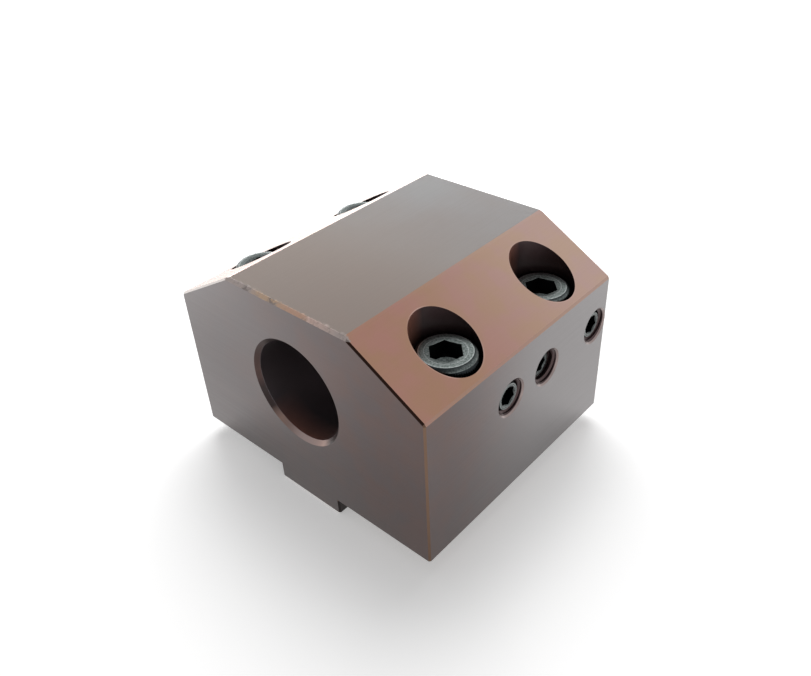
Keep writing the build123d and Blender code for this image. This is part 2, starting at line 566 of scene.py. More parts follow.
paler = add_node(
    tree, "ShaderNodeMapRange",
    {"interpolation_type": "SMOOTHSTEP", "From Min": FRONT + PALE_FROM, "From Max": FRONT + PALE_TO},
    {"Value": spot_axes.outputs["Y"]},
)
slope_tan = add_node(
    tree, "ShaderNodeMix", {"data_type": "RGBA", 6: linear("#9b7761"), 7: linear("#b49887")},
    {"Factor": paler.outputs[0]},
)
slope_pink = add_node(
    tree, "ShaderNodeMix", {"data_type": "RGBA", 6: linear("#9f7569"), 7: linear("#b3968e")},
    {"Factor": paler.outputs[0]},
)
slope_colour = add_node(
    tree, "ShaderNodeMix", {"data_type": "RGBA"},
    {"Factor": blush.outputs[0], 6: slope_tan.outputs[2], 7: slope_pink.outputs[2]},
)
print("slopes turn pale over, mm:", PALE_TO - PALE_FROM)

# %% [markdown]
# ## Edges
#
# The block's edges were broken with a half-millimetre bevel, which the coating covers unevenly. Each kind of
# edge has its own tone: copper along the slopes and brown down the upright corners. Across the slopes the
# bevels carry painted reflections: nearly black across the right slope and pale across the left one. Edges
# are often found with a Bevel node, but the bevels are faces of the CAD mesh, so the direction of a bevel is
# enough to tell which it is.

# %% Edges down the corners and across the slopes
CORNER_UP, CROSSING_UP = 0.2, 0.55  # upward share of the direction of each kind

edge_shade = add_node(
    tree, "ShaderNodeMapRange", {"From Min": CORNER_UP, "From Max": CROSSING_UP},
    {"Value": facing_axes.outputs["Z"]},
)
on_right = add_node(
    tree, "ShaderNodeMath", {"operation": "GREATER_THAN", 1: 0.0}, {0: side_axes.outputs["X"]}
)
# painted reflections on the bevels across the slopes: pale on the left, nearly black on the right
reflection_across_slope = add_node(
    tree, "ShaderNodeMix", {"data_type": "RGBA", 6: linear("#b7afaa"), 7: linear("#2f190f")},
    {"Factor": on_right.outputs[0]},
)
edge_colour = add_node(
    tree, "ShaderNodeMix", {"data_type": "RGBA", 6: linear("#715847")},
    {"Factor": edge_shade.outputs[0], 7: reflection_across_slope.outputs[2]},
)
print("edges across the slopes: pale on the left, dark on the right")

# %% Edges along the slopes
ALONG_BLOCK = 0.2  # most share of Y in the direction of an edge that runs along the block
FOOT_UP, FOOT_SPAN = 0.5, 0.12  # upward share at the foot of a slope
FOOT_SHARE = 0.6

along_slope = add_node(
    tree, "ShaderNodeMath", {"operation": "LESS_THAN", 1: ALONG_BLOCK}, {0: facing_axes.outputs["Y"]}
)
edge_colour = add_node(
    tree, "ShaderNodeMix", {"data_type": "RGBA"},
    {"Factor": along_slope.outputs[0], 6: edge_colour.outputs[2], 7: slope_colour.outputs[2]},
)
slope_foot = add_node(
    tree, "ShaderNodeMath", {"operation": "COMPARE", 1: FOOT_UP, 2: FOOT_SPAN},
    {0: facing_axes.outputs["Z"]},
)
slope_foot = add_node(
    tree, "ShaderNodeMath", {"operation": "MULTIPLY"}, {0: slope_foot.outputs[0], 1: along_slope.outputs[0]}
)
slope_foot = add_node(
    tree, "ShaderNodeMath", {"operation": "MULTIPLY", 1: FOOT_SHARE}, {0: slope_foot.outputs[0]}
)
edge_colour = add_node(
    tree, "ShaderNodeMix", {"data_type": "RGBA", 7: linear("#8c7266")},
    {"Factor": slope_foot.outputs[0], 6: edge_colour.outputs[2]},
)
print("share of the darker brown at a slope's foot:", FOOT_SHARE)

# %% Faces and edges together, with a painted highlight: a thin pale rim where a counterbore breaks through a slope
RIM_FROM, RIM_TO = 0.35, 0.65
RIM_HIGHLIGHT_SHARE = 0.5

outside = add_node(
    tree, "ShaderNodeMix", {"data_type": "RGBA"},
    {"Factor": ground.outputs[0], 6: edge_colour.outputs[2], 7: ground_colour.outputs[2]},
)
outside = add_node(
    tree, "ShaderNodeMix", {"data_type": "RGBA"},
    {"Factor": sloped.outputs[0], 6: outside.outputs[2], 7: slope_colour.outputs[2]},
)
# painted highlight on the rim of each counterbore where it breaks through a slope
rim = add_node(
    tree, "ShaderNodeMath", {"operation": "MULTIPLY"}, {0: in_rim.outputs[0], 1: sloped.outputs[0]}
)
patchy = add_node(
    tree, "ShaderNodeMapRange",
    {"From Min": RIM_FROM, "From Max": RIM_TO, "To Min": 0.0, "To Max": RIM_HIGHLIGHT_SHARE},
    {"Value": blush_noise.outputs["Fac"]},
)
rim = add_node(
    tree, "ShaderNodeMath", {"operation": "MULTIPLY"}, {0: rim.outputs[0], 1: patchy.outputs[0]}
)
outside = add_node(
    tree, "ShaderNodeMix", {"data_type": "RGBA", 7: linear("#cdb3a9")},
    {"Factor": rim.outputs[0], 6: outside.outputs[2]},
)
print("rim width, mm:", HOLES["counterbore"][2])

# %% Painted shade: the flanks of the key are nearly black
KEY_HEIGHT = 5.0
FLANK_SIDEWAYS = 0.3

below_seat = add_node(
    tree, "ShaderNodeMath", {"operation": "LESS_THAN", 1: KEY_HEIGHT}, {0: spot_axes.outputs["Z"]}
)
# painted shade on the flanks of the key
shaded_flank = add_node(
    tree, "ShaderNodeMath", {"operation": "GREATER_THAN", 1: FLANK_SIDEWAYS}, {0: facing_axes.outputs["X"]}
)
shaded_flank = add_node(
    tree, "ShaderNodeMath", {"operation": "MULTIPLY"}, {0: shaded_flank.outputs[0], 1: below_seat.outputs[0]}
)
outside = add_node(
    tree, "ShaderNodeMix", {"data_type": "RGBA", 7: linear("#2a2221")},
    {"Factor": shaded_flank.outputs[0], 6: outside.outputs[2]},
)
print("key height, mm:", KEY_HEIGHT)

# %% [markdown]
# ## Holes
#
# A turned mouth is a narrow ring of bright and dark, and a wall shows little light at all, because the room
# reaches it only over many dark reflections. Reflections do part of that in the render too. They could do
# all of it, but only in a room like the real one, so the colours of the mouths and walls do the rest.

# %% The mouth of the bore, with painted light and shade by the direction it faces: brown at its sides, nearly black below them, and pale where it faces up
BORE_MOUTH_LIGHT_AND_SHADE = (
    # upward share of the direction it faces, colour
    (0.0, "#4a3733"), (0.12, "#43322f"), (0.26, "#241a19"),
    (0.48, "#2b1f1e"), (0.60, "#8d746b"), (0.71, "#837370"),
)

bevelled = add_node(
    tree, "ShaderNodeMath", {"operation": "SUBTRACT", 0: 1.0}, {1: ground.outputs[0]}
)
turned = add_node(
    tree, "ShaderNodeMath", {"operation": "MULTIPLY"}, {0: in_mouth.outputs[0], 1: bevelled.outputs[0]}
)
# painted light and shade round the mouth of the bore, by the direction each point faces
lit_bore_ring = add_node(tree, "ShaderNodeValToRGB", links={"Fac": side_axes.outputs["Z"]})
fill_ramp(lit_bore_ring, BORE_MOUTH_LIGHT_AND_SHADE)
print("stops round the mouth of the bore:", len(BORE_MOUTH_LIGHT_AND_SHADE))

# %% The countersinks of the tapped holes: painted shade in the depth, pale near the side face
SIDE_MOUTHS_FROM = SIDE - 2.0
COUNTERSINK_DARK, COUNTERSINK_PALE = SIDE - 0.55, SIDE - 0.4

on_side = add_node(
    tree, "ShaderNodeMath", {"operation": "GREATER_THAN", 1: SIDE_MOUTHS_FROM}, {0: spot_axes.outputs["X"]}
)
near_side = add_node(
    tree, "ShaderNodeMapRange", {"From Min": COUNTERSINK_DARK, "From Max": COUNTERSINK_PALE},
    {"Value": spot_axes.outputs["X"]},
)
# painted shade deep in the countersinks, paler near the side face
countersink = add_node(
    tree, "ShaderNodeMix", {"data_type": "RGBA", 6: linear("#574744"), 7: linear("#8a7c79")},
    {"Factor": near_side.outputs[0]},
)
mouth_colour = add_node(
    tree, "ShaderNodeMix", {"data_type": "RGBA"},
    {"Factor": on_side.outputs[0], 6: lit_bore_ring.outputs[0], 7: countersink.outputs[2]},
)
with_mouths = add_node(
    tree, "ShaderNodeMix", {"data_type": "RGBA"},
    {"Factor": turned.outputs[0], 6: outside.outputs[2], 7: mouth_colour.outputs[2]},
)
print("countersinks are pale for the last, mm:", round(SIDE - COUNTERSINK_PALE, 2))

# %% Walls: painted light, rosy, low in the front of the bore and on the front of the wells; painted shade, grey or dark brown, elsewhere
LIT_DEEP, LIT_FRONT = FRONT + 9.0, FRONT + 0.5
LIT_FROM, LIT_TO = 0.6, 0.95  # upward share
REAR_FROM, REAR_TO = -0.2, 0.6  # rearward share

# painted light on the front of the bore's floor and on the well walls that face the rear; painted shade on
# the other walls
near_front = add_node(
    tree, "ShaderNodeMapRange", {"From Min": LIT_DEEP, "From Max": LIT_FRONT},
    {"Value": spot_axes.outputs["Y"]},
)
facing_up = add_node(
    tree, "ShaderNodeMapRange", {"From Min": LIT_FROM, "From Max": LIT_TO}, {"Value": side_axes.outputs["Z"]}
)
lit_floor = add_node(
    tree, "ShaderNodeMath", {"operation": "MULTIPLY"}, {0: near_front.outputs[0], 1: facing_up.outputs[0]}
)
bore_colour = add_node(
    tree, "ShaderNodeMix", {"data_type": "RGBA", 6: linear("#6f6669"), 7: linear("#b07d70")},
    {"Factor": lit_floor.outputs[0]},
)
lit_well_wall = add_node(
    tree, "ShaderNodeMapRange", {"From Min": REAR_FROM, "From Max": REAR_TO},
    {"Value": side_axes.outputs["Y"]},
)
well_colour = add_node(
    tree, "ShaderNodeMix", {"data_type": "RGBA", 6: linear("#453738"), 7: linear("#b07866")},
    {"Factor": lit_well_wall.outputs[0]},
)
wall_colour = add_node(
    tree, "ShaderNodeMix", {"data_type": "RGBA"},
    {"Factor": in_well.outputs[0], 6: bore_colour.outputs[2], 7: well_colour.outputs[2]},
)
wall_colour = add_node(
    tree, "ShaderNodeMix", {"data_type": "RGBA", 7: linear("#4b3a3a")},
    {"Factor": in_tapped.outputs[0], 6: wall_colour.outputs[2]},
)
colour = add_node(
    tree, "ShaderNodeMix", {"data_type": "RGBA"},
    {"Factor": in_hole.outputs[0], 6: with_mouths.outputs[2], 7: wall_colour.outputs[2]},
)
print("light reaches into the bore, mm:", LIT_DEEP - FRONT)

# %% [markdown]
# ## The worn front edge
#
# Knocks have rubbed the coating off the front edge of the top. The bare edge shows grey, tan and rose in
# turn, with two dark nicks and a paler flaked stretch. It could be sculpted, but it is only about a
# millimetre wide, so the CAD gives its bevel, a ramp along the edge its tones and a fine noise its ragged
# outline.

# %% Tones along the worn edge
EDGE_FROM, EDGE_TO = -21.4, 21.4  # X of its ends
RAGGED = 1.3  # size of a chip
RAGGED_SHIFT = 1.2  # how far a tone strays along the edge
NOISE_LOW, NOISE_HIGH = 0.3, 0.7  # nearly all of a noise lies between these
GREY, TAN, ROSY, FLAKE, NICK = "#948985", "#a28a75", "#a38472", "#b2988e", "#655d5a"
WORN_STOPS = (
    # share of the edge from the left, tone
    (0.14, GREY), (0.17, NICK), (0.20, GREY), (0.30, TAN), (0.37, TAN), (0.40, NICK), (0.43, TAN),
    (0.55, ROSY), (0.68, ROSY), (0.71, FLAKE), (0.95, GREY),
)

ragged = add_node(
    tree, "ShaderNodeTexNoise", {"Scale": 1 / RAGGED, "Detail": 4.0, "Roughness": 0.65},
    {"Vector": spot.outputs[0]},
)
shift = add_node(
    tree, "ShaderNodeMapRange",
    {"From Min": NOISE_LOW, "From Max": NOISE_HIGH, "To Min": -RAGGED_SHIFT, "To Max": RAGGED_SHIFT},
    {"Value": ragged.outputs["Fac"]},
)
along_edge = add_node(
    tree, "ShaderNodeMath", {"operation": "ADD"}, {0: spot_axes.outputs["X"], 1: shift.outputs[0]}
)
along_edge = add_node(
    tree, "ShaderNodeMapRange", {"From Min": EDGE_FROM, "From Max": EDGE_TO},
    {"Value": along_edge.outputs[0]},
)
worn_colour = add_node(tree, "ShaderNodeValToRGB", links={"Fac": along_edge.outputs[0]})
fill_ramp(worn_colour, WORN_STOPS)
print("worn edge, mm:", EDGE_TO - EDGE_FROM)

# %% The worn band: all of the bevel, and a ragged strip of the top behind it
EDGE_BEVEL = 0.8
MARGIN = 0.02
STRIP_FROM, STRIP_TO = FRONT + 0.5, FRONT + 1.3
STRIP_LOW, STRIP_HIGH = 0.35, 0.65
STRIP_FADE_FROM, STRIP_FADE_TO = -0.4, 0.1  # short of its end

strip_end = add_node(
    tree, "ShaderNodeMapRange",
    {"From Min": STRIP_LOW, "From Max": STRIP_HIGH, "To Min": STRIP_FROM, "To Max": STRIP_TO},
    {"Value": ragged.outputs["Fac"]},
)
short_of_end = add_node(
    tree, "ShaderNodeMath", {"operation": "SUBTRACT"}, {0: strip_end.outputs[0], 1: spot_axes.outputs["Y"]}
)
strip = add_node(
    tree, "ShaderNodeMapRange", {"From Min": STRIP_FADE_FROM, "From Max": STRIP_FADE_TO},
    {"Value": short_of_end.outputs[0]},
)
near_top = add_node(
    tree, "ShaderNodeMath", {"operation": "GREATER_THAN", 1: TOP - EDGE_BEVEL - MARGIN},
    {0: spot_axes.outputs["Z"]},
)
strip = add_node(
    tree, "ShaderNodeMath", {"operation": "MULTIPLY"}, {0: strip.outputs[0], 1: near_top.outputs[0]}
)
on_bevel = add_node(
    tree, "ShaderNodeMath", {"operation": "LESS_THAN", 1: FRONT + EDGE_BEVEL + MARGIN},
    {0: spot_axes.outputs["Y"]},
)
on_bevel = add_node(
    tree, "ShaderNodeMath", {"operation": "MULTIPLY"}, {0: on_bevel.outputs[0], 1: near_top.outputs[0]}
)
worn = any_of(tree, [strip, on_bevel])
print("ragged strip, mm:", round(STRIP_TO - STRIP_FROM, 2))

# %% Wear over the ground colour, thin in places
WEAR_LOW, WEAR_HIGH = 0.35, 0.5
WEAR_LEAST = 0.35

colour = add_node(
    tree, "ShaderNodeMix", {"data_type": "RGBA"},
    {"Factor": on_bevel.outputs[0], 6: colour.outputs[2], 7: ground_colour.outputs[2]},
)
worn_share = add_node(
    tree, "ShaderNodeMapRange",
    {"From Min": WEAR_LOW, "From Max": WEAR_HIGH, "To Min": WEAR_LEAST, "To Max": 1.0},
    {"Value": ragged.outputs["Fac"]},
)
worn_part = add_node(
    tree, "ShaderNodeMath", {"operation": "MULTIPLY"}, {0: worn.outputs[0], 1: worn_share.outputs[0]}
)
colour = add_node(
    tree, "ShaderNodeMix", {"data_type": "RGBA"},
    {"Factor": worn_part.outputs[0], 6: colour.outputs[2], 7: worn_colour.outputs[0]},
)
print("least share of wear in the band:", WEAR_LEAST)

# %% [markdown]
# ## Grinding lines and nicks
#
# A grinding wheel leaves fine parallel scratches, along the block on its top and sides and across it on its
# ends. They could be cut as grooves, but no mesh is fine enough, and a noise stretched over a hundred times
# gives such lines. Real ones are a few hundredths of a millimetre apart, too fine for the render, so they
# are drawn 0.3 mm apart. The eye reads them as a satin sheen.

# %% Grinding lines
LINE_SPACING = 0.3
LINE_LENGTH = 40.0
END_FACING = 0.9
LINE_DEPTH = 0.006
LINE_STRENGTH = 0.35

lengthways = add_node(
    tree, "ShaderNodeVectorMath",
    {"operation": "MULTIPLY", 1: (1 / LINE_SPACING, 1 / LINE_LENGTH, 1 / LINE_SPACING)},
    {0: spot.outputs[0]},
)
crossways = add_node(
    tree, "ShaderNodeVectorMath",
    {"operation": "MULTIPLY", 1: (1 / LINE_LENGTH, 1 / LINE_SPACING, 1 / LINE_SPACING)},
    {0: spot.outputs[0]},
)
on_end = add_node(
    tree, "ShaderNodeMath", {"operation": "GREATER_THAN", 1: END_FACING}, {0: facing_axes.outputs["Y"]}
)
line_spot = add_node(
    tree, "ShaderNodeMix", {"data_type": "VECTOR"},
    {"Factor": on_end.outputs[0], 4: lengthways.outputs[0], 5: crossways.outputs[0]},
)
lines = add_node(
    tree, "ShaderNodeTexNoise", {"Scale": 1.0, "Detail": 2.0}, {"Vector": line_spot.outputs[1]}
)
line_relief = add_node(
    tree, "ShaderNodeBump", {"Strength": LINE_STRENGTH, "Distance": LINE_DEPTH * MM},
    {"Height": lines.outputs["Fac"]},
)
print("grinding lines, mm apart:", LINE_SPACING)

# %% Nicks and burrs in the worn edge, below and above the middle of the noise
NICK_DEPTH = 0.25
NICK_STRENGTH = 0.8
NOISE_MIDDLE = 0.5

nicks = add_node(
    tree, "ShaderNodeMath", {"operation": "SUBTRACT", 1: NOISE_MIDDLE}, {0: ragged.outputs["Fac"]}
)
nicks = add_node(
    tree, "ShaderNodeMath", {"operation": "MULTIPLY"}, {0: nicks.outputs[0], 1: worn.outputs[0]}
)
relief = add_node(
    tree, "ShaderNodeBump", {"Strength": NICK_STRENGTH, "Distance": NICK_DEPTH * MM},
    {"Height": nicks.outputs[0], "Normal": line_relief.outputs[0]},
)
print("nicks, mm deep:", NICK_DEPTH)

# %% The finished coating: metal under a thin clear oil, satin outside and duller in the holes
SATIN_LOW, SATIN_HIGH = 0.30, 0.38
DULL = 0.5

satin = add_node(
    tree, "ShaderNodeMapRange",
    {"From Min": NOISE_LOW, "From Max": NOISE_HIGH, "To Min": SATIN_LOW, "To Max": SATIN_HIGH},
    {"Value": lines.outputs["Fac"]},
)
roughness = add_node(
    tree, "ShaderNodeMix", {"data_type": "FLOAT", 3: DULL}, {0: in_hole.outputs[0], 2: satin.outputs[0]}
)
shader = add_node(
    tree, "ShaderNodeBsdfPrincipled", {"Metallic": 1.0, "Coat Weight": 0.35, "Coat Roughness": 0.2},
    {
        "Base Color": colour.outputs[2],
        "Roughness": roughness.outputs[0],
        "Normal": relief.outputs[0],
    },
)
tree.links.new(shader.outputs[0], output.inputs["Surface"])
nodes["holder_body"].material_slots[0].material = coated
print("block finish:", coated.name, "with", len(tree.nodes), "nodes")

# %% [markdown]
# ## Black oxide
#
# The screws are alloy steel, blackened in a hot salt bath. That leaves a thin dark oxide, oily and a little
# patchy, with patches of about half a millimetre. The flat end of a screw was faced and gets scuffed by the
# key, so it shows a paler grey steel, while the knurl, the thread and the hexagon stay black. The ends
# could have a second material, but the drill point is only partly scuffed, and one side of the shoulder has
# a painted highlight in the same grey, so the direction of the surface blends one into the other. To the eye
# the cap screws are grey and dusty, and the set screws, which keep their oil, are darker.

# %% The two oxides, for screws that stand up and for screws that lie along X
OXIDES = {
    # name: (axis of the screw, the hole it's in, radii of the rims with painted highlights, scuffed dark and
    # pale, rim highlight, black)
    "black_oxide_steel": ("Z", "counterbore", (5.4, 6.75), "#5c6462", "#9da6a4", "#c6cccb", "#262a2c"),
    "oiled_black_steel": ("X", "tapped", (3.0, 3.6), "#424645", "#747977", "#9da2a1", "#1e2022"),
}
PATCH = 0.5
PATCH_DARK, PATCH_PALE = 0.35, 0.68


def from_axis(tree, spot, hole):
    """Distance from the axis of the nearest hole of that name, in millimetres."""
    directions, _, _, _, middles = HOLES[hole]
    across = add_node(
        tree, "ShaderNodeVectorMath", {"operation": "MULTIPLY", 1: directions}, {0: spot.outputs[0]}
    )
    reaches = [
        add_node(
            tree, "ShaderNodeVectorMath", {"operation": "DISTANCE", 1: middle}, {0: across.outputs[0]}
        ).outputs["Value"]
        for middle in middles
    ]
    nearest = add_node(
        tree, "ShaderNodeMath", {"operation": "MINIMUM"}, {0: reaches[0], 1: reaches[1]}
    )
    for reach in reaches[2:]:
        nearest = add_node(
            tree, "ShaderNodeMath", {"operation": "MINIMUM"}, {0: nearest.outputs[0], 1: reach}
        )
    return nearest


print("oxides:", sorted(OXIDES), "patches, mm:", PATCH)

# %% [markdown]
# ## Scuffed ends
#
# On a faced end the oxide is scuffed to grey. The rims of the socket and of the face carry painted
# highlights, thin pale rings. Round the sockets of the left pair of cap screws a painted shade keeps them
# darker. The rings could be edges of the mesh, but a distance from the screw's axis finds them on all seven
# screws, and lets them fade with the patches.

# %% Colour of a scuffed end
RIM_HALF_WIDTH = 0.12
SOCKET_SHADE_EDGE, SOCKET_SHADE_CORE = 7.2, 4.8
SOCKET_SHADE_SHARE = 0.65


def scuffed_colour(tree, spot, nearest, patches, rims, dark, pale, rim_highlight, black):
    """Patchy grey with painted highlights on its rims, and painted shade round the sockets on the left."""
    scuffed = add_node(tree, "ShaderNodeValToRGB", links={"Fac": patches.outputs["Fac"]})
    fill_ramp(scuffed, ((PATCH_DARK, dark), (PATCH_PALE, pale)))
    # painted highlights: thin pale rings at the rims of the socket and of the face
    highlighted = any_of(tree, [
        add_node(
            tree, "ShaderNodeMath", {"operation": "COMPARE", 1: rim, 2: RIM_HALF_WIDTH},
            {0: nearest.outputs[0]},
        )
        for rim in rims
    ])
    highlighted = add_node(
        tree, "ShaderNodeMath", {"operation": "MULTIPLY"}, {0: highlighted.outputs[0], 1: patches.outputs["Fac"]}
    )
    scuffed = add_node(
        tree, "ShaderNodeMix", {"data_type": "RGBA", 7: linear(rim_highlight)},
        {"Factor": highlighted.outputs[0], 6: scuffed.outputs[0]},
    )
    spot_axes = add_node(tree, "ShaderNodeSeparateXYZ", links={0: spot.outputs[0]})
    on_left = add_node(
        tree, "ShaderNodeMath", {"operation": "LESS_THAN", 1: 0.0}, {0: spot_axes.outputs["X"]}
    )
    # painted shade round the sockets of the cap screws on the left
    socket_shade = add_node(
        tree, "ShaderNodeMapRange",
        {
            "interpolation_type": "SMOOTHSTEP", "From Min": SOCKET_SHADE_EDGE, "From Max": SOCKET_SHADE_CORE,
            "To Max": SOCKET_SHADE_SHARE,
        },
        {"Value": nearest.outputs[0]},
    )
    socket_shade = add_node(
        tree, "ShaderNodeMath", {"operation": "MULTIPLY"}, {0: socket_shade.outputs[0], 1: on_left.outputs[0]}
    )
    return add_node(
        tree, "ShaderNodeMix", {"data_type": "RGBA", 7: linear(black)},
        {"Factor": socket_shade.outputs[0], 6: scuffed.outputs[2]},
    )


print("rubbed rims, mm wide:", 2 * RIM_HALF_WIDTH)

# %% Where a screw is scuffed, on its flat end and the drill point in its socket, and a painted highlight on one side of its shoulder
FLAT_FROM, FLAT_TO = 0.965, 0.985
CONE_FROM, CONE_TO = 0.75, 0.85
CONE_SHARE = 0.45
SHOULDER_FROM, SHOULDER_TO = 0.25, 0.7
SHOULDER_LEAN = 0.25
SHOULDER_HIGHLIGHT_SHARE = 0.4
SHOULDER_PAST_RIM = 0.4


def scuffed_and_lit_mask(tree, facing_axes, nearest, axis, rim):
    """Mask that is 1 on the flat end, less on the drill point, and less for a painted highlight on one side
    of the shoulder.
    """
    flat_end = add_node(
        tree, "ShaderNodeMapRange", {"From Min": FLAT_FROM, "From Max": FLAT_TO},
        {"Value": facing_axes.outputs[axis]},
    )
    drill_point = add_node(
        tree, "ShaderNodeMapRange", {"From Min": CONE_FROM, "From Max": CONE_TO, "To Max": CONE_SHARE},
        {"Value": facing_axes.outputs[axis]},
    )
    in_socket = add_node(
        tree, "ShaderNodeMath", {"operation": "LESS_THAN", 1: rim}, {0: nearest.outputs[0]}
    )
    drill_point = add_node(
        tree, "ShaderNodeMath", {"operation": "MULTIPLY"},
        {0: drill_point.outputs[0], 1: in_socket.outputs[0]},
    )
    # painted highlight: one side of the shoulder gets a share of the scuffed grey
    shoulder = add_node(
        tree, "ShaderNodeMapRange",
        {"From Min": SHOULDER_FROM, "From Max": SHOULDER_TO, "To Max": SHOULDER_HIGHLIGHT_SHARE},
        {"Value": facing_axes.outputs["X" if axis == "Z" else "Z"]},
    )
    leaning = add_node(
        tree, "ShaderNodeMath", {"operation": "GREATER_THAN", 1: SHOULDER_LEAN},
        {0: facing_axes.outputs[axis]},
    )
    past_rim = add_node(
        tree, "ShaderNodeMath", {"operation": "GREATER_THAN", 1: rim + SHOULDER_PAST_RIM},
        {0: nearest.outputs[0]},
    )
    for mask in (leaning, past_rim):
        shoulder = add_node(
            tree, "ShaderNodeMath", {"operation": "MULTIPLY"}, {0: shoulder.outputs[0], 1: mask.outputs[0]}
        )
    return any_of(tree, [flat_end, drill_point, shoulder])


print("share of the scuffed grey on a shoulder:", SHOULDER_HIGHLIGHT_SHARE)

# %% Make the oxides: dull where they are dark, with a faint grain
OXIDE_DULL, OXIDE_BRIGHT = 0.42, 0.3
GRAIN_DEPTH = 0.02
GRAIN_STRENGTH = 0.4

oxides = {}
for name, (axis, hole, rims, dark, pale, rim_highlight, black) in OXIDES.items():
    material, tree, output = new_material(name)
    where = add_node(tree, "ShaderNodeTexCoord")
    spot = add_node(
        tree, "ShaderNodeVectorMath", {"operation": "MULTIPLY", 1: MILLIMETRES}, {0: where.outputs["Object"]}
    )
    patches = add_node(
        tree, "ShaderNodeTexNoise", {"Scale": 1 / PATCH, "Detail": 5.0, "Roughness": 0.6},
        {"Vector": spot.outputs[0]},
    )
    nearest = from_axis(tree, spot, hole)
    facing_axes = add_node(tree, "ShaderNodeSeparateXYZ", links={0: where.outputs["Normal"]})
    scuffed = scuffed_colour(tree, spot, nearest, patches, rims, dark, pale, rim_highlight, black)
    scuffed_and_lit = scuffed_and_lit_mask(tree, facing_axes, nearest, axis, rims[0])
    colour = add_node(
        tree, "ShaderNodeMix", {"data_type": "RGBA", 6: linear(black)},
        {"Factor": scuffed_and_lit.outputs[0], 7: scuffed.outputs[2]},
    )
    roughness = add_node(
        tree, "ShaderNodeMapRange",
        {"From Min": NOISE_LOW, "From Max": NOISE_HIGH, "To Min": OXIDE_DULL, "To Max": OXIDE_BRIGHT},
        {"Value": patches.outputs["Fac"]},
    )
    relief = add_node(
        tree, "ShaderNodeBump", {"Strength": GRAIN_STRENGTH, "Distance": GRAIN_DEPTH * MM},
        {"Height": patches.outputs["Fac"]},
    )
    shader = add_node(
        tree, "ShaderNodeBsdfPrincipled", {"Metallic": 1.0},
        {
            "Base Color": colour.outputs[2],
            "Roughness": roughness.outputs[0],
            "Normal": relief.outputs[0],
        },
    )
    tree.links.new(shader.outputs[0], output.inputs["Surface"])
    oxides[name] = material
print("screw finishes:", sorted(oxides))

# %% [markdown]
# ## Screws from rings
#
# A screw is a turned part: rings of points round an axis, joined by faces. A ring's radius may change with
# the angle, which gives the hexagon of a socket and the teeth of a knurl. A Screw modifier could wind the
# thread, but it would have to be joined to the head by hand. Here a thread is one long slanted row of rings
# that climbs by its pitch at each turn, so the last column joins the first one a turn higher.

# %% Rings
MERGE = 0.002  # points closer than this become one
SHARP_ANGLE = 30  # degrees


def hexagon(flats):
    """Radius of a hexagon at an angle, with a corner at angle 0."""
    return lambda angle: flats / 2 / math.cos(angle % math.radians(60) - math.radians(30))


def add_ring(shape, columns, radius, height):
    """Ring of points. Radius and height are in millimetres, or functions of the angle."""
    ring = []
    for column in range(columns):
        angle = math.tau * column / columns
        r = radius(angle) if callable(radius) else radius
        z = height(angle) if callable(height) else height
        ring.append(shape.verts.new((r * math.cos(angle), r * math.sin(angle), z)))
    return ring


def join_rings(shape, rings):
    """Faces between each ring and the next."""
    for low, high in zip(rings, rings[1:]):
        for i in range(len(low)):
            j = (i + 1) % len(low)
            shape.faces.new((low[i], low[j], high[j], high[i]))


def cap(shape, ring, height, outwards):
    """Closes a ring to a point on the axis, where outwards is 1 for a top and -1 for a bottom."""
    middle = shape.verts.new((0, 0, height))
    for i in range(len(ring)):
        a, b = ring[i], ring[(i + 1) % len(ring)]
        shape.faces.new((a, b, middle) if outwards > 0 else (b, a, middle))


def finish_piece(shape, name, matrix):
    """Turns the rings into a piece in place, in metres, with sharp edges kept sharp."""
    bmesh.ops.remove_doubles(shape, verts=shape.verts, dist=MERGE)
    bmesh.ops.dissolve_degenerate(shape, edges=shape.edges, dist=MERGE)
    bmesh.ops.recalc_face_normals(shape, faces=shape.faces)
    mesh = bpy.data.meshes.new(name)
    shape.to_mesh(mesh)
    shape.free()
    mesh.transform(matrix @ Matrix.Diagonal((MM, MM, MM, 1)))
    mesh.shade_smooth()
    mesh.set_sharp_from_angle(angle=math.radians(SHARP_ANGLE))
    piece = bpy.data.objects.new(name, mesh)
    bpy.context.scene.collection.objects.link(piece)
    return piece


print("8 mm hexagon across its corners, mm:", round(2 * hexagon(8.0)(0), 2))

# %% Thread: M10 with a pitch of 1.5 mm
PITCH = 1.5
CREST = 5.0
ROOT = 4.1
THREAD_ROWS = (
    # share of the pitch, radius
    (0.0, ROOT), (0.25, ROOT), (0.5625, CREST), (0.6875, CREST),
)


def add_thread(shape, columns, start, end, start_radius, end_radius):
    """Right-handed thread between two heights, bevelled or run out to the radii at its ends."""
    rows = len(THREAD_ROWS)
    turns = math.ceil((end - start) / PITCH) + 1
    points = {}
    for row in range(-rows, turns * rows + 1):
        share, radius = THREAD_ROWS[row % rows]
        for column in range(columns):
            climb = row // rows + share + column / columns
            z = min(max(start + climb * PITCH, start), end)
            if end_radius == CREST:
                r = CREST - (CREST - radius) * min(1.0, (end - z) / PITCH)
            else:
                r = min(radius, end_radius + (end - z))
            r = min(r, start_radius + (z - start))
            angle = math.tau * column / columns
            points[row, column] = shape.verts.new((r * math.cos(angle), r * math.sin(angle), z))
    for row in range(-rows, turns * rows):
        for column in range(columns):
            step = (column + 1) % columns
            lift = rows if step == 0 else 0
            if row + lift + 1 > turns * rows:
                continue
            corners = (
                points[row, column], points[row + lift, step],
                points[row + lift + 1, step], points[row + 1, column],
            )
            shape.faces.new(corners)


print("thread depth, mm:", round(CREST - ROOT, 2))

# %% Socket: a bevelled mouth, six walls and a drill point
DRILL_SLOPE = math.tan(math.radians(30))


